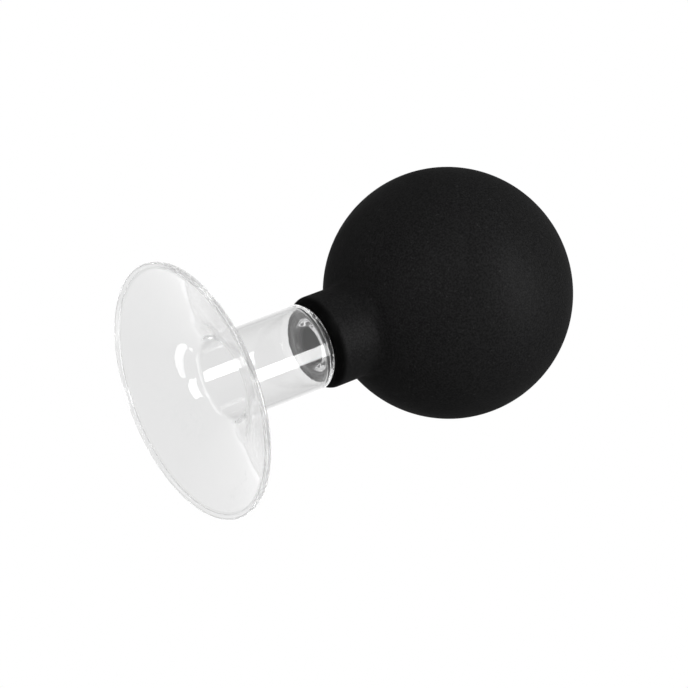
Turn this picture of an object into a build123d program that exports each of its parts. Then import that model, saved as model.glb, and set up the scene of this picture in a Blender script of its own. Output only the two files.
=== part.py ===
from build123d import *
import os

# Cupping cup: a one-piece blown glass cup that ends in a hollow nozzle, and a rubber
# squeeze bulb whose collar is pushed over that nozzle.
# Millimetres, +Z up. The cup stands on its mouth: the origin is the centre of the rim plane
# and +Z runs along the axis of revolution to the crown of the bulb.

# Driving dimensions
mouth_diameter = 55.0
barrel_diameter = 18.75
barrel_end_z = 30.95
nozzle_diameter = 10.5
nozzle_length = 10.65
glass_wall = 1.1
ball_diameter = 53.3
ball_height = 52.6
ball_centre_z = 66.3
rubber_wall = 2.6
collar_diameter = 19.8
collar_front_z = 30.85

# Rim of the glass: a rolled bead with a narrow flat land that rests on the skin
bead_radius = 0.7
land_depth = 0.05
bead_blend = 1.0

# Dish of the glass: a shallow cone, a little steeper at the throat, that turns into the barrel
dish_bend_r = 12.6
dish_bend_z = 5.75
dish_blend = 20.0
throat_z = 8.3
throat_inner_blend = 1.5
throat_outer_blend = 2.2
flare_wall = 1.2

# Closed end of the barrel and root of the nozzle
end_wall = 1.2
shoulder_blend = 2.4
shoulder_inner_blend = 1.8
nozzle_wall = 1.2
nozzle_outer_blend = 0.8
nozzle_inner_blend = 0.9
nozzle_lip_blend = 0.5

# Rubber collar: its shallow seat stops against the end of the barrel with a hair of clearance
seat_gap = 0.1
collar_fit = 0.06
collar_crease_z = 33.0
collar_nose_radius = 2.2
collar_draft = 0.04
collar_rear_blend = 0.8
collar_lip_blend = 0.1
bore_lead_in = 1.0
bore_rear_blend = 0.7

# The bulb is one moulding, divided by two hairline gaps so that it can be squeezed
wall_start_z = 44.0
crown_start_z = 86.0
hairline = 0.1

barrel_r = barrel_diameter / 2
barrel_bore_r = barrel_r - glass_wall
bead_r = mouth_diameter / 2 - bead_radius
bead_z = bead_radius - land_depth
nozzle_r = nozzle_diameter / 2
nozzle_bore_r = nozzle_r - nozzle_wall
nozzle_end_z = barrel_end_z + nozzle_length
ball_r = ball_diameter / 2
ball_rise = ball_height / 2
chamber_r = ball_r - rubber_wall
chamber_rise = ball_rise - rubber_wall
collar_r = collar_diameter / 2
collar_bore_r = nozzle_r + collar_fit
shoulder_r = barrel_r - shoulder_blend
shoulder_z = barrel_end_z - shoulder_blend
seat_z = barrel_end_z + seat_gap
seat_r = shoulder_blend + seat_gap


def round_corner(section, corner, radius):
    """Round the corner of a section that lies nearest to the point corner = (r, z)."""
    fillet(section.vertices().sort_by_distance(corner)[0], radius)


# Glass cup: the section of one side, turned about Z
inner_corners = [
    ((dish_bend_r, dish_bend_z), dish_blend),
    ((barrel_bore_r, throat_z), throat_inner_blend),
    ((barrel_bore_r, barrel_end_z - end_wall), shoulder_inner_blend),
    ((nozzle_bore_r, barrel_end_z - end_wall), nozzle_inner_blend),
    ((nozzle_bore_r, nozzle_end_z), nozzle_lip_blend),
]
outer_corners = [
    ((nozzle_r, nozzle_end_z), nozzle_lip_blend),
    ((nozzle_r, barrel_end_z), nozzle_outer_blend),
    ((barrel_r, barrel_end_z), shoulder_blend),
    ((barrel_r, throat_z + flare_wall), throat_outer_blend),
    ((dish_bend_r + flare_wall / 3, dish_bend_z + flare_wall), dish_blend),
]

with BuildPart() as glass_cup:
    with BuildSketch(Plane.XZ) as glass_section:
        with BuildLine():
            Polyline(
                (bead_r, bead_z - flare_wall / 2),
                *[corner for corner, radius in inner_corners + outer_corners],
                (bead_r, bead_z + flare_wall / 2),
                close=True,
            )
        make_face()
        for corner, radius in inner_corners + outer_corners:
            round_corner(glass_section, corner, radius)
        with Locations((bead_r, bead_z)):
            Circle(bead_radius)
        round_corner(glass_section, (bead_r - bead_radius, bead_z - bead_radius / 2), bead_blend)
        round_corner(glass_section, (bead_r - bead_radius / 2, bead_z + bead_radius), bead_blend)
        with Locations((bead_r, -bead_radius)):
            Rectangle(3 * bead_radius, 2 * bead_radius, mode=Mode.SUBTRACT)
    revolve(axis=Axis.Z)
glass_cup.part.label = "glass_cup"

# Rubber bulb, one section: collar and ball outside, seat, bore and chamber inside
nose_rise = collar_crease_z - collar_front_z
nose_r = collar_r - collar_nose_radius + (collar_nose_radius**2 - nose_rise**2) ** 0.5
lip_r = shoulder_r + (seat_r**2 - (collar_front_z - shoulder_z) ** 2) ** 0.5
collar_rear_r = collar_r - collar_draft
collar_rear_z = ball_centre_z - ball_rise * (1 - (collar_rear_r / ball_r) ** 2) ** 0.5
bore_rear_z = ball_centre_z - chamber_rise * (1 - (collar_bore_r / chamber_r) ** 2) ** 0.5

with BuildSketch(Plane.XZ) as bulb_section:
    with BuildLine():
        RadiusArc((nose_r, collar_front_z), (collar_r, collar_crease_z), -collar_nose_radius)
        Polyline(
            (collar_r, collar_crease_z),
            (collar_rear_r, collar_rear_z),
            (collar_rear_r, ball_centre_z),
            (0, ball_centre_z),
            (0, collar_front_z),
            (nose_r, collar_front_z),
        )
    make_face()
    with Locations((0, ball_centre_z)):
        Ellipse(ball_r, ball_rise)
    with Locations((ball_r, ball_centre_z)):
        Rectangle(ball_diameter, 2 * ball_diameter, mode=Mode.INTERSECT)
    with Locations((0, ball_centre_z)):
        Ellipse(chamber_r, chamber_rise, mode=Mode.SUBTRACT)
    with Locations((shoulder_r, shoulder_z)):
        Circle(seat_r, mode=Mode.SUBTRACT)
    with Locations((0, shoulder_z)):
        Rectangle(2 * shoulder_r, 2 * seat_r, mode=Mode.SUBTRACT)
    with Locations((0, (shoulder_z + ball_centre_z) / 2)):
        Rectangle(2 * collar_bore_r, ball_centre_z - shoulder_z, mode=Mode.SUBTRACT)
    for corner, radius in (
        ((collar_rear_r, collar_rear_z), collar_rear_blend),
        ((collar_bore_r, seat_z), bore_lead_in),
        ((collar_bore_r, bore_rear_z), bore_rear_blend),
        ((nose_r, collar_front_z), collar_lip_blend),
        ((lip_r, collar_front_z), collar_lip_blend),
    ):
        round_corner(bulb_section, corner, radius)


def bulb_slice(low_z, high_z):
    """Draw the part of the bulb section that lies between two heights."""
    add(bulb_section.sketch_local)
    with Locations((0, (low_z + high_z) / 2)):
        Rectangle(2 * ball_diameter, high_z - low_z, mode=Mode.INTERSECT)


# The moulding divided across its axis: collar and foot of the ball, side wall, crown
with BuildPart() as bulb_collar:
    with BuildSketch(Plane.XZ):
        bulb_slice(shoulder_z, wall_start_z)
    revolve(axis=Axis.Z)
bulb_collar.part.label = "bulb_collar"

with BuildPart() as bulb_wall:
    with BuildSketch(Plane.XZ):
        bulb_slice(wall_start_z + hairline, crown_start_z)
    revolve(axis=Axis.Z)
bulb_wall.part.label = "bulb_wall"

# The crown carries the oval on as a cap of a sphere, through the same top and the same edge
crown_z = ball_centre_z + ball_rise
cap_rise = crown_z - crown_start_z
cap_edge_r = ball_r * (1 - ((crown_start_z - ball_centre_z) / ball_rise) ** 2) ** 0.5
cap_radius = (cap_rise**2 + cap_edge_r**2) / (2 * cap_rise)

with BuildPart() as bulb_crown:
    with BuildSketch(Plane.XZ):
        with Locations((0, crown_z - cap_radius)):
            Circle(cap_radius)
            Circle(cap_radius - rubber_wall, mode=Mode.SUBTRACT)
        with Locations((ball_r, crown_z)):
            Rectangle(ball_diameter, 2 * (cap_rise - hairline), mode=Mode.INTERSECT)
    revolve(axis=Axis.Z)
bulb_crown.part.label = "bulb_crown"

os.makedirs("parts", exist_ok=True)
for piece in (glass_cup, bulb_collar, bulb_wall, bulb_crown):
    export_step(piece.part, f"parts/{piece.part.label}.step")
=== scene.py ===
import bmesh
import bpy
import math
from mathutils import Matrix, Vector


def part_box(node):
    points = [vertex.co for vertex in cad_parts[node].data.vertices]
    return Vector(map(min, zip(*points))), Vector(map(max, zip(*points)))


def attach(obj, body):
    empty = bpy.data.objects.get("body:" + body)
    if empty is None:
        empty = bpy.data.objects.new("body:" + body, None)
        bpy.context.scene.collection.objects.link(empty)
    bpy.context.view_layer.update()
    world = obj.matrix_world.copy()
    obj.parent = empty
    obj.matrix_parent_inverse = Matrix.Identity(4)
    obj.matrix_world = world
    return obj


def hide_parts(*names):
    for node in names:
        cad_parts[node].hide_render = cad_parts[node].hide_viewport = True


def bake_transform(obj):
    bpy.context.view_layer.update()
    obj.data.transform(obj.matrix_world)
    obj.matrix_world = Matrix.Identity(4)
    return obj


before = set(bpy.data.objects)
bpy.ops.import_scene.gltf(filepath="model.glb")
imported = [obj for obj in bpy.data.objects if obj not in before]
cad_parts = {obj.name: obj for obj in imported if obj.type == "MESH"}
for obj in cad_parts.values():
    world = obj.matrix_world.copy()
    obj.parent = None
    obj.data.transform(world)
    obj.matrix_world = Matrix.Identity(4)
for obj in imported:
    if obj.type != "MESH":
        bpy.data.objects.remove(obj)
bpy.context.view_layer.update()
mm = 0.001

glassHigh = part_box("glass_cup")[1]
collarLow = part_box("bulb_collar")[0]
wallLow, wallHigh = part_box("bulb_wall")
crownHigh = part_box("bulb_crown")[1]


# shapes turned about the axis

def roundedOutline(corners, closed, stepDegrees=5.0):
    # (r, z, blend) corners become a smooth run of (r, z) points
    points = []
    count = len(corners)
    for i, (r, z, blend) in enumerate(corners):
        here = Vector((r, z))
        if blend <= 0 or (not closed and i in (0, count - 1)):
            points.append(here)
            continue
        toBefore = (Vector(corners[i - 1][:2]) - here).normalized()
        toAfter = (Vector(corners[(i + 1) % count][:2]) - here).normalized()
        opening = toBefore.angle(toAfter)
        reach = blend / math.tan(opening / 2)
        centre = here + (toBefore + toAfter).normalized() * (blend / math.sin(opening / 2))
        first = here + toBefore * reach - centre
        last = here + toAfter * reach - centre
        start = math.atan2(first.y, first.x)
        sweep = math.remainder(math.atan2(last.y, last.x) - start, 2 * math.pi)
        steps = max(3, math.ceil(abs(math.degrees(sweep)) / stepDegrees))
        for k in range(steps + 1):
            a = start + sweep * k / steps
            points.append(centre + Vector((math.cos(a), math.sin(a))) * blend)
    return points


def evenOutline(points, longest, closed):
    # no two neighbours further apart than longest, so that fine shading has points to hold
    even = []
    followers = points[1:] + points[:1] if closed else points[1:]
    for here, after in zip(points, followers):
        steps = max(1, math.ceil((after - here).length / longest))
        even += [here.lerp(after, k / steps) for k in range(steps)]
    return even if closed else even + [points[-1]]


def turnedPiece(name, outline, segments, closed):
    # points on the axis become single poles
    vertices, rings, faces = [], [], []
    for r, z in outline:
        if r < 1e-9:
            rings.append([len(vertices)] * segments)
            vertices.append((0, 0, z))
            continue
        rings.append([len(vertices) + k for k in range(segments)])
        for k in range(segments):
            a = 2 * math.pi * k / segments
            vertices.append((r * math.cos(a), r * math.sin(a), z))
    followers = rings[1:] + rings[:1] if closed else rings[1:]
    for low, high in zip(rings, followers):
        for k in range(segments):
            n = (k + 1) % segments
            faces.append(list(dict.fromkeys((low[k], low[n], high[n], high[k]))))
    mesh = bpy.data.meshes.new(name)
    mesh.from_pydata(vertices, [], faces)
    mesh.polygons.foreach_set("use_smooth", [True] * len(faces))
    facing = bmesh.new()
    facing.from_mesh(mesh)
    bmesh.ops.recalc_face_normals(facing, faces=facing.faces)
    facing.to_mesh(mesh)
    facing.free()
    piece = bpy.data.objects.new(name, mesh)
    bpy.context.scene.collection.objects.link(piece)
    return piece


# glass cup
glassCup = {
    "mouthRadius": glassHigh.x,
    "beadRadius": 0.7 * mm,
    "landDepth": 0.05 * mm,
    "beadSteps": 96,
    "beadMeets": ((-0.5 * mm, -0.49 * mm), (-0.02 * mm, 0.7 * mm)),
    "wallJoin": 0.75 * mm,
    "flareWall": 1.2 * mm,
    "dishBend": (12.6 * mm, 5.75 * mm, 20.0 * mm),
    "throat": (8.275 * mm, 8.3 * mm, 1.5 * mm),
    "throatOuterBlend": 2.2 * mm,
    "barrelRadius": 9.375 * mm,
    "barrelEnd": 30.95 * mm,
    "endWall": 1.2 * mm,
    "shoulderBlend": 2.4 * mm,
    "shoulderInnerBlend": 1.8 * mm,
    "nozzleRadius": 5.25 * mm,
    "nozzleBore": 4.05 * mm,
    "nozzleEnd": glassHigh.z,
    "nozzleOuterBlend": 0.8 * mm,
    "nozzleInnerBlend": 0.9 * mm,
    "nozzleLip": 0.5 * mm,
    "segments": 256,
    "longestStep": 0.8 * mm,
}


def beadOutline(g, lowSide, highSide):
    # the rolled rim, from where the inner wall meets it round to where the outer wall meets it
    centre = Vector((g["mouthRadius"] - g["beadRadius"], g["beadRadius"] - g["landDepth"]))
    start = math.atan2(lowSide.y - centre.y, lowSide.x - centre.x) % (2 * math.pi)
    end = math.atan2(highSide.y - centre.y, highSide.x - centre.x) + 2 * math.pi
    points = []
    for k in range(g["beadSteps"] + 1):
        a = start + (end - start) * k / g["beadSteps"]
        p = centre + Vector((math.cos(a), math.sin(a))) * g["beadRadius"]
        p.y = max(p.y, 0)
        points.append(p)
    return points


def glassOutline(g):
    bendR, bendZ, bendBlend = g["dishBend"]
    throatR, throatZ, throatBlend = g["throat"]
    beadR = g["mouthRadius"] - g["beadRadius"]
    beadZ = g["beadRadius"] - g["landDepth"]
    endZ = g["barrelEnd"] - g["endWall"]
    half = g["flareWall"] / 2
    corners = [
        (beadR, beadZ - half, 0),
        (bendR, bendZ, bendBlend),
        (throatR, throatZ, throatBlend),
        (throatR, endZ, g["shoulderInnerBlend"]),
        (g["nozzleBore"], endZ, g["nozzleInnerBlend"]),
        (g["nozzleBore"], g["nozzleEnd"], g["nozzleLip"]),
        (g["nozzleRadius"], g["nozzleEnd"], g["nozzleLip"]),
        (g["nozzleRadius"], g["barrelEnd"], g["nozzleOuterBlend"]),
        (g["barrelRadius"], g["barrelEnd"], g["shoulderBlend"]),
        (g["barrelRadius"], throatZ + 2 * half, g["throatOuterBlend"]),
        (bendR + 2 * half / 3, bendZ + 2 * half, bendBlend),
        (beadR, beadZ + half, 0),
    ]
    walls = roundedOutline(corners, False)
    centre = Vector((beadR, beadZ))
    # each wall stops just short of the bead, and one short flat closes the gap
    inner = walls[0] + (walls[1] - walls[0]).normalized() * g["wallJoin"]
    outer = walls[-1] + (walls[-2] - walls[-1]).normalized() * g["wallJoin"]
    lowSide, highSide = (centre + Vector(side) for side in g["beadMeets"])
    bead = beadOutline(g, lowSide, highSide)
    return evenOutline([inner] + walls[1:-1] + [outer] + bead[::-1], g["longestStep"], True)


cup = turnedPiece("glassCup", glassOutline(glassCup), glassCup["segments"], True)
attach(cup, "cup")
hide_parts("glass_cup")
print("glass cup turned")

# rubber bulb
rubberBulb = {
    "ballRadius": wallHigh.x,
    "ballRise": 26.3 * mm,
    "ballCentre": crownHigh.z - 26.3 * mm,
    "wall": 2.6 * mm,
    "collarFront": collarLow.z,
    "collarRadius": 9.9 * mm,
    "collarDraft": 0.04 * mm,
    "creaseZ": 33.0 * mm,
    "noseRadius": 2.2 * mm,
    "seatCentre": (6.975 * mm, 28.55 * mm),
    "seatRadius": 2.5 * mm,
    "boreRadius": 5.31 * mm,
    "boreLeadIn": 1.0 * mm,
    "boreRearBlend": 0.6 * mm,
    "edgeTurns": {"rear": 0.035, "front": 0.05, "seat": 0.06, "bore": 0.03},
    "creaseShare": 0.06,
    "ballSteps": 110,
    "chamberSteps": 100,
    "noseSteps": 12,
    "segments": 256,
    "longestStep": 0.7 * mm,
}


def ovalPoints(centre, across, along, start, end, steps):
    return [
        centre + Vector((across * math.cos(a), along * math.sin(a)))
        for a in (start + (end - start) * k / steps for k in range(steps + 1))
    ]


def bulbOutline(b):
    ball = Vector((0, b["ballCentre"]))
    rearR = b["collarRadius"] - b["collarDraft"]
    chamberR, chamberRise = b["ballRadius"] - b["wall"], b["ballRise"] - b["wall"]
    rearAngle = -math.acos(rearR / b["ballRadius"])
    boreAngle = -math.acos(b["boreRadius"] / chamberR)
    up = math.pi / 2
    seat = Vector(b["seatCentre"])
    noseR, seatR, steps = b["noseRadius"], b["seatRadius"], b["noseSteps"]
    nose = Vector((b["collarRadius"] - noseR, b["creaseZ"]))
    noseAngle = -math.asin((b["creaseZ"] - b["collarFront"]) / noseR)
    lipAngle = math.asin((b["collarFront"] - seat.y) / seatR)
    turns = b["edgeTurns"]  # radians by which each curve stops short of a corner, to soften it
    lastAngle = rearAngle + turns["rear"]
    outside = ovalPoints(ball, b["ballRadius"], b["ballRise"], up, lastAngle, b["ballSteps"])
    rear = Vector((rearR, ball.y + b["ballRise"] * math.sin(rearAngle)))
    crease = Vector((b["collarRadius"], b["creaseZ"]))
    front = ovalPoints(nose, noseR, noseR, 0, noseAngle + turns["front"], steps)
    seatCurve = ovalPoints(seat, seatR, seatR, lipAngle + turns["seat"], up, steps)
    boreTop = ball.y + chamberRise * math.sin(boreAngle)
    bore = roundedOutline([
        (*seatCurve[-1], 0),
        (b["boreRadius"], seatCurve[-1].y, b["boreLeadIn"]),
        (b["boreRadius"], boreTop - b["boreRearBlend"], 0),
    ], False)
    inside = ovalPoints(ball, chamberR, chamberRise, boreAngle + turns["bore"], up, b["chamberSteps"])
    run = outside + [rear.lerp(crease, b["creaseShare"])] + front + seatCurve + bore[1:] + inside
    run[0].x = run[-1].x = 0
    return evenOutline(run, b["longestStep"], False)


bulb = turnedPiece("rubberBulb", bulbOutline(rubberBulb), rubberBulb["segments"], False)
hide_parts("bulb_collar", "bulb_wall", "bulb_crown")
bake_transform(bulb)
print("rubber bulb turned")


# effects shared by the materials

def newEffect(name, inputs, outputs):
    # numbers go in, and masks and heights that change over the surface come out
    effect = bpy.data.node_groups.new(name, "ShaderNodeTree")
    for label, value in inputs.items():
        socket = effect.interface.new_socket(label, in_out="INPUT", socket_type="NodeSocketFloat")
        socket.default_value = value
    for label in outputs:
        effect.interface.new_socket(label, in_out="OUTPUT", socket_type="NodeSocketFloat")
    return effect, effect.nodes.new("NodeGroupInput"), effect.nodes.new("NodeGroupOutput")


def noiseIn(tree, vector, detail, distortion):
    noise = tree.nodes.new("ShaderNodeTexNoise")
    noise.inputs["Detail"].default_value = detail
    noise.inputs["Distortion"].default_value = distortion
    tree.links.new(vector, noise.inputs["Vector"])
    return noise


def spread(tree, value, low, high, toLow=0.0, toHigh=1.0):
    # stretches a value from one span to another, with soft ends
    span = tree.nodes.new("ShaderNodeMapRange")
    span.interpolation_type = "SMOOTHSTEP"
    span.inputs["From Min"].default_value = low
    span.inputs["From Max"].default_value = high
    span.inputs["To Min"].default_value = toLow
    span.inputs["To Max"].default_value = toHigh
    tree.links.new(value, span.inputs["Value"])
    return span.outputs["Result"]


def combine(tree, how, first, second):
    step = tree.nodes.new("ShaderNodeMath")
    step.operation = how
    for place, value in ((0, first), (1, second)):
        if isinstance(value, float):
            step.inputs[place].default_value = value
        else:
            tree.links.new(value, step.inputs[place])
    return step.outputs["Value"]


# the part of each noise that counts, from where it starts to show to where it is full
spans = {
    "grain": (0.3, 0.7),
    "specks": (0.7, 0.76),
    "patches": (0.42, 0.68),
    "streaks": (0.4, 0.75),
}

# fine grain of a moulded or pressed skin, and the few specks that settle on it
scales = {"grainScale": 3000, "speckScale": 700}
fineGrain, given, result = newEffect("fineGrain", scales, ("height", "specks"))
spot = fineGrain.nodes.new("ShaderNodeTexCoord").outputs["Object"]
grain = noiseIn(fineGrain, spot, detail=3.0, distortion=0.2)
dust = noiseIn(fineGrain, spot, detail=1.0, distortion=0.0)
fineGrain.links.new(given.outputs["grainScale"], grain.inputs["Scale"])
fineGrain.links.new(given.outputs["speckScale"], dust.inputs["Scale"])
fineGrain.links.new(spread(fineGrain, grain.outputs["Fac"], *spans["grain"]), result.inputs["height"])
fineGrain.links.new(spread(fineGrain, dust.outputs["Fac"], *spans["specks"]), result.inputs["specks"])

# marks of handling: broad patches broken up by fine streaks
scales = {"patchScale": 60, "streakScale": 500}
handling, given, result = newEffect("handling", scales, ("marks", "patches"))
spot = handling.nodes.new("ShaderNodeTexCoord").outputs["Object"]
patches = noiseIn(handling, spot, detail=2.0, distortion=0.6)
streaks = noiseIn(handling, spot, detail=4.0, distortion=1.5)
handling.links.new(given.outputs["patchScale"], patches.inputs["Scale"])
handling.links.new(given.outputs["streakScale"], streaks.inputs["Scale"])
broad = spread(handling, patches.outputs["Fac"], *spans["patches"])
fine = spread(handling, streaks.outputs["Fac"], *spans["streaks"])
handling.links.new(combine(handling, "MULTIPLY", broad, fine), result.inputs["marks"])
handling.links.new(broad, result.inputs["patches"])


def newMaterial(name):
    material = bpy.data.materials.new(name)
    material.use_nodes = True
    return material, material.node_tree, material.node_tree.nodes["Principled BSDF"]


def placed(tree, effect, **values):
    # the shared effect inside one material, with that material's own values
    node = tree.nodes.new("ShaderNodeGroup")
    node.node_tree = effect
    for label, value in values.items():
        node.inputs[label].default_value = value
    return node


def tinted(tree, mask, plain, marked):
    mix = tree.nodes.new("ShaderNodeMix")
    mix.data_type = "RGBA"
    mix.inputs["A"].default_value = (*plain, 1)
    mix.inputs["B"].default_value = (*marked, 1)
    tree.links.new(mask, mix.inputs["Factor"])
    return mix.outputs["Result"]


def raised(tree, height, depth, shader):
    # grain or waves of this depth on the surface of the shader
    bump = tree.nodes.new("ShaderNodeBump")
    bump.inputs["Strength"].default_value = 1.0
    bump.inputs["Distance"].default_value = depth
    tree.links.new(height, bump.inputs["Height"])
    tree.links.new(bump.outputs["Normal"], shader.inputs["Normal"])


# clear glass: hot-worked, so it is wavy at the throat and at the root of the nozzle
glassFinish = {
    "indexOfRefraction": 1.49,
    "plain": (1.0, 1.0, 1.0),
    "marked": (0.97, 0.975, 0.975),
    "patchScale": 70,
    "streakScale": 900,
    "smearFrom": 0.8,
    "smearRoughness": 0.01,
    "waveScale": 420.0,
    "waveDepth": 0.2 * mm,
    "calmWaves": 0.03,
    "trueRimZ": (1.3 * mm, 3.5 * mm),
    "throatWaves": 0.05,
    "throatZ": (7.0 * mm, 9.0 * mm, 12.0 * mm),
    "nozzleWaves": 1.0,
    "nozzleZ": (27.5 * mm, 30.0 * mm, 32.0 * mm),
}


def clearGlassMaterial(g):
    material, tree, shader = newMaterial("clearGlass")
    shader.inputs["IOR"].default_value = g["indexOfRefraction"]
    shader.inputs["Transmission Weight"].default_value = 1.0
    marks = placed(tree, handling, patchScale=g["patchScale"], streakScale=g["streakScale"])
    colour = tinted(tree, marks.outputs["marks"], g["plain"], g["marked"])
    tree.links.new(colour, shader.inputs["Base Color"])
    smear = spread(tree, marks.outputs["marks"], g["smearFrom"], 1.0, 0.0, g["smearRoughness"])
    tree.links.new(smear, shader.inputs["Roughness"])
    # waves of the glass, strongest where it was worked hot
    spot = tree.nodes.new("ShaderNodeTexCoord").outputs["Object"]
    place = tree.nodes.new("ShaderNodeSeparateXYZ")
    tree.links.new(spot, place.inputs["Vector"])
    wave = noiseIn(tree, spot, detail=1.5, distortion=0.8)
    wave.inputs["Scale"].default_value = g["waveScale"]
    worked = g["calmWaves"]
    for share, span in ((g["throatWaves"], g["throatZ"]), (g["nozzleWaves"], g["nozzleZ"])):
        start, middle, end = span
        rise = spread(tree, place.outputs["Z"], start, middle)
        fall = spread(tree, place.outputs["Z"], middle, end, share, 0.0)
        worked = combine(tree, "ADD", combine(tree, "MULTIPLY", rise, fall), worked)
    worked = combine(tree, "MULTIPLY", spread(tree, place.outputs["Z"], *g["trueRimZ"]), worked)
    raised(tree, combine(tree, "MULTIPLY", wave.outputs["Fac"], worked), g["waveDepth"], shader)
    return material


# black rubber: matte, finely grained, with a little dust, and painted shade that darkens the nose of
# the collar
rubberFinish = {
    "hollow": (0.006, 0.006, 0.0061),
    "proud": (0.0125, 0.0125, 0.0127),
    "dusty": (0.018, 0.018, 0.0183),
    # painted shade: the dark colour given to the nose of the collar
    "wearAndPaintedShade": (0.0022, 0.0022, 0.0022),
    "strayDepth": (6.0, 9.0),
    "strayLight": 0.6,
    "noseZ": (31.8 * mm, 33.0 * mm),
    "specularLevel": 0.03,
    "roughness": (0.42, 0.5),
    "grainScale": 2600,
    "speckScale": 1500,
    "patchScale": 45,
    "streakScale": 260,
    "grainDepth": 0.02 * mm,
}


def blackRubberMaterial(r):
    material, tree, shader = newMaterial("blackRubber")
    shader.inputs["Specular IOR Level"].default_value = r["specularLevel"]
    grain = placed(tree, fineGrain, grainScale=r["grainScale"], speckScale=r["speckScale"])
    marks = placed(tree, handling, patchScale=r["patchScale"], streakScale=r["streakScale"])
    colour = tinted(tree, grain.outputs["height"], r["hollow"], r["proud"])
    dusted = tree.nodes.new("ShaderNodeMix")
    dusted.data_type = "RGBA"
    dusted.inputs["B"].default_value = (*r["dusty"], 1)
    tree.links.new(colour, dusted.inputs["A"])
    tree.links.new(grain.outputs["specks"], dusted.inputs["Factor"])
    # painted shade: the colour is darkened at the nose of the collar, next to the glass
    place = tree.nodes.new("ShaderNodeSeparateXYZ")
    tree.links.new(tree.nodes.new("ShaderNodeTexCoord").outputs["Object"], place.inputs["Vector"])
    nose = tree.nodes.new("ShaderNodeMix")
    nose.data_type = "RGBA"
    nose.inputs["A"].default_value = (*r["wearAndPaintedShade"], 1)
    tree.links.new(dusted.outputs["Result"], nose.inputs["B"])
    tree.links.new(spread(tree, place.outputs["Z"], *r["noseZ"]), nose.inputs["Factor"])
    tree.links.new(nose.outputs["Result"], shader.inputs["Base Color"])
    # light that has run a long way inside the glass doesn't die on the rubber
    steps = tree.nodes.new("ShaderNodeLightPath")
    stray = spread(tree, steps.outputs["Ray Depth"], *r["strayDepth"], 0.0, r["strayLight"])
    tree.links.new(stray, shader.inputs["Emission Color"])
    shader.inputs["Emission Strength"].default_value = 1.0
    rubbed = spread(tree, marks.outputs["patches"], 0.0, 1.0, *r["roughness"])
    tree.links.new(rubbed, shader.inputs["Roughness"])
    raised(tree, grain.outputs["height"], r["grainDepth"], shader)
    return material


cup.data.materials.append(clearGlassMaterial(glassFinish))
bulb.data.materials.append(blackRubberMaterial(rubberFinish))
print("materials made")

# camera
camera = {
    "lens": 183.1,
    "at": (2.18 * mm, -624.97 * mm, -329.18 * mm),
    "right": (0.35983, -0.47270, 0.80441),
    "up": (-0.93302, -0.18230, 0.31023),
    "back": (0.0, -0.86216, -0.50664),
    "sensor": 36,
    "sees": 50,
}
lookData = bpy.data.cameras.new("camera")
lookData.lens = camera["lens"]
lookData.sensor_width = camera["sensor"]
lookData.clip_end = camera["sees"]
look = bpy.data.objects.new("camera", lookData)
bpy.context.scene.collection.objects.link(look)
turn = Matrix((camera["right"], camera["up"], camera["back"])).transposed()
look.matrix_world = Matrix.Translation(camera["at"]) @ turn.to_4x4()
bpy.context.scene.camera = look

# floor, seen from above only, fading into the white around it
floorFinish = {
    "clean": (0.88, 0.88, 0.88),
    "wearAndPaintedShade": (0.82, 0.82, 0.825),
    "roughness": (0.7, 0.9),
    "toothScale": 900,
    "speckScale": 500,
    "patchScale": 9,
    "streakScale": 60,
    "toothDepth": 0.1 * mm,
    "fade": (0.35, 1.6),
    "halfSize": 3.0,
    "under": 0.02 * mm,
}


def floorMaterial(f):
    material, tree, shader = newMaterial("paperFloor")
    grain = placed(tree, fineGrain, grainScale=f["toothScale"], speckScale=f["speckScale"])
    marks = placed(tree, handling, patchScale=f["patchScale"], streakScale=f["streakScale"])
    colour = tinted(tree, marks.outputs["patches"], f["clean"], f["wearAndPaintedShade"])
    tree.links.new(colour, shader.inputs["Base Color"])
    rubbed = spread(tree, marks.outputs["marks"], 0.0, 1.0, *f["roughness"])
    tree.links.new(rubbed, shader.inputs["Roughness"])
    raised(tree, grain.outputs["height"], f["toothDepth"], shader)
    far = tree.nodes.new("ShaderNodeVectorMath")
    far.operation = "LENGTH"
    tree.links.new(tree.nodes.new("ShaderNodeTexCoord").outputs["Object"], far.inputs[0])
    side = tree.nodes.new("ShaderNodeNewGeometry")
    faded = spread(tree, far.outputs["Value"], *f["fade"])
    pick = tree.nodes.new("ShaderNodeMixShader")
    clear = tree.nodes.new("ShaderNodeBsdfTransparent")
    tree.links.new(combine(tree, "MAXIMUM", side.outputs["Backfacing"], faded), pick.inputs["Fac"])
    tree.links.new(shader.outputs["BSDF"], pick.inputs[1])
    tree.links.new(clear.outputs["BSDF"], pick.inputs[2])
    tree.links.new(pick.outputs["Shader"], tree.nodes["Material Output"].inputs["Surface"])
    return material


floorData = bpy.data.meshes.new("floor")
reach = floorFinish["halfSize"]
floorData.from_pydata(
    [(-reach, -reach, 0), (reach, -reach, 0), (reach, reach, 0), (-reach, reach, 0)], [], [(0, 1, 2, 3)]
)
floorData.materials.append(floorMaterial(floorFinish))
floor = bpy.data.objects.new("floor", floorData)
floor.location.z = -floorFinish["under"]
bpy.context.scene.collection.objects.link(floor)
floor.visible_glossy = False
floor.visible_shadow = False

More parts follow.
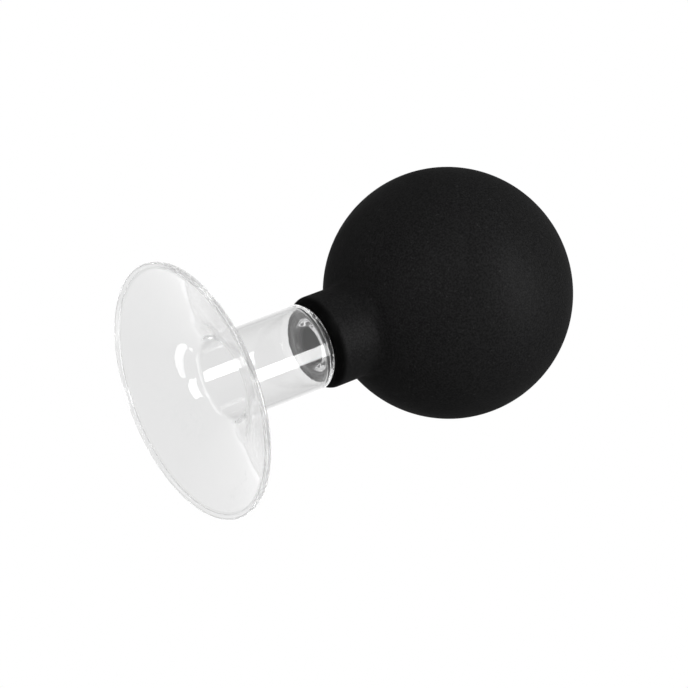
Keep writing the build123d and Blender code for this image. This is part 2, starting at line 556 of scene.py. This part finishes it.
# surroundings: white behind the object, a grey room seen through the glass, a brighter one
# mirrored in it, and a dim one on the rough rubber; each list says how bright the room is from 0,
# the low end of one axis, to 1, its high end
room = {
    "behind": 1.0,
    "throughGlass": [(0.0, 0.45), (0.2, 0.5), (0.45, 0.785), (0.55, 0.785), (0.8, 0.5), (1.0, 0.45)],
    "mirrored": [(0.0, 1.35), (0.1, 1.4), (0.3, 1.7), (0.75, 1.65), (1.0, 1.6)],
    "ringLow": [(0.08, 0.0), (0.12, 1.0), (0.26, 1.0), (0.3, 0.0)],
    "ringFront": [(0.0, 1.0), (0.55, 1.0), (0.66, 0.0)],
    "backdropFrom": [(0.0, 0.0), (0.75, 0.0), (0.82, 1.0)],
    "sidesFrom": [(0.0, 1.0), (0.08, 1.0), (0.14, 0.0), (0.86, 0.0), (0.92, 1.0)],
    "backdrop": 1.62,
    "sides": 1.2,
    "ring": 4.2,
    "onSoft": [(0.0, 0.3), (0.5, 0.5), (1.0, 0.75)],
    "onRough": 0.2,
}
world = bpy.data.worlds.new("studio")
bpy.context.scene.world = world
world.use_nodes = True
nodes, links = world.node_tree.nodes, world.node_tree.links
nodes.clear()
where = nodes.new("ShaderNodeTexCoord")
split = nodes.new("ShaderNodeSeparateXYZ")
path = nodes.new("ShaderNodeLightPath")
links.new(where.outputs["Generated"], split.inputs["Vector"])


def roomRamp(axisName, stops):
    # brightness that runs along one axis of the room, from its low end to its high end
    span = nodes.new("ShaderNodeMapRange")
    span.inputs["From Min"].default_value = -1
    ramp = nodes.new("ShaderNodeValToRGB")
    for place, level in stops[2:]:
        ramp.color_ramp.elements.new(place)
    for element, (place, level) in zip(ramp.color_ramp.elements, stops):
        element.position = place
        element.color = (level, level, level, 1)
    links.new(split.outputs[axisName], span.inputs["Value"])
    links.new(span.outputs["Result"], ramp.inputs["Fac"])
    return ramp.outputs["Color"]


def blended(share, before, after):
    # the second brightness in place of the first, by a share
    mix = nodes.new("ShaderNodeMix")
    mix.data_type = "RGBA"
    links.new(share, mix.inputs["Factor"])
    for name, value in (("A", before), ("B", after)):
        if isinstance(value, float):
            mix.inputs[name].default_value = (value, value, value, 1)
        else:
            links.new(value, mix.inputs[name])
    return mix.outputs["Result"]


ringShare = nodes.new("ShaderNodeMath")
ringShare.operation = "MULTIPLY"
links.new(roomRamp("Z", room["ringLow"]), ringShare.inputs[0])
links.new(roomRamp("Y", room["ringFront"]), ringShare.inputs[1])
mirrored = blended(roomRamp("X", room["sidesFrom"]), roomRamp("Z", room["mirrored"]), room["sides"])
mirrored = blended(ringShare.outputs["Value"], mirrored, room["ring"])
mirrored = blended(roomRamp("Y", room["backdropFrom"]), mirrored, room["backdrop"])
light = blended(path.outputs["Is Glossy Ray"], roomRamp("Z", room["onSoft"]), room["onRough"])
light = blended(path.outputs["Is Singular Ray"], light, mirrored)
light = blended(path.outputs["Is Transmission Ray"], light, roomRamp("X", room["throughGlass"]))
light = blended(path.outputs["Is Camera Ray"], light, room["behind"])
sky = nodes.new("ShaderNodeBackground")
out = nodes.new("ShaderNodeOutputWorld")
links.new(light, sky.inputs["Color"])
links.new(sky.outputs["Background"], out.inputs["Surface"])
world.cycles.sampling_method = "NONE"  # so that only rays that bounce see the room, each kind its own
print("surroundings made")

# lights: direction from the object, the way the width runs, distance, width and height, how
# bright the face looks, and the one piece a light is kept to
lamps = {
    "keyBox": {
        "towards": (0.374, -0.804, 0.47), "along": (1, 0.46, 0), "away": 0.6,
        "size": (0.29, 0.4), "radiance": 9.0, "shape": "RECTANGLE", "only": cup,
    },
    "keyOnRubber": {
        "towards": (0.22, -0.78, 0.585), "along": (1, 0.3, 0), "away": 0.6,
        "size": (0.6, 0.26), "radiance": 6.5, "shape": "RECTANGLE", "only": bulb,
    },
    "lowStrip": {
        "towards": (-0.36, -0.64, -0.5), "along": (-0.45, -0.54, 1.14), "away": 0.6,
        "size": (1.08, 0.12), "radiance": 2.5, "shape": "RECTANGLE", "only": cup,
    },
    "lowOnRubber": {
        "towards": (-0.4, -0.72, -0.6), "along": (-0.45, -0.54, 1.14), "away": 0.6,
        "size": (0.9, 0.16), "radiance": 4.0, "shape": "RECTANGLE", "only": bulb,
    },
    "petalNear": {
        "towards": (0.011, 0.055, -1.026), "along": (1, 0.05, 0), "away": 0.5,
        "size": (0.2, 0.018), "radiance": 5.5, "shape": "ELLIPSE", "only": cup,
    },
    "petalSide": {
        "towards": (0.372, 0.352, -0.885), "along": (0.536, 0.692, 0.484), "away": 0.5,
        "size": (0.31, 0.075), "radiance": 3.6, "shape": "ELLIPSE", "only": cup,
    },
    "overhead": {
        "towards": (0.2, 0.1, 1.0), "along": (1, 0, 0), "away": 0.9,
        "size": (0.9, 0.9), "radiance": 1.0, "shape": "RECTANGLE", "only": floor,
    },
}
kept = {}  # one collection for each piece, so that a light can be kept to it
for piece in (cup, bulb, floor):
    kept[piece] = bpy.data.collections.new(piece.name + "Only")
    kept[piece].objects.link(piece)
aim = Vector((0, 0, 20 * mm))  # what every light points at
for name, lamp in lamps.items():
    data = bpy.data.lights.new(name, "AREA")
    data.shape = lamp["shape"]
    data.size, data.size_y = lamp["size"]
    data.energy = lamp["radiance"] * math.pi * data.size * data.size_y
    shine = bpy.data.objects.new(name, data)
    facing = Vector(lamp["towards"]).normalized()
    upward = facing.cross(Vector(lamp["along"])).normalized()
    turn = Matrix((upward.cross(facing), upward, facing)).transposed()
    shine.matrix_world = Matrix.Translation(aim + facing * lamp["away"]) @ turn.to_4x4()
    shine.visible_camera = False
    shine.light_linking.receiver_collection = kept[lamp["only"]]
    bpy.context.scene.collection.objects.link(shine)
print("lights placed")

bpy.context.scene.view_settings.view_transform = "Standard"
# light has to find its way out of the thick rim
bounces = 160
bpy.context.scene.cycles.max_bounces = bounces
bpy.context.scene.cycles.glossy_bounces = bounces
bpy.context.scene.cycles.transmission_bounces = bounces
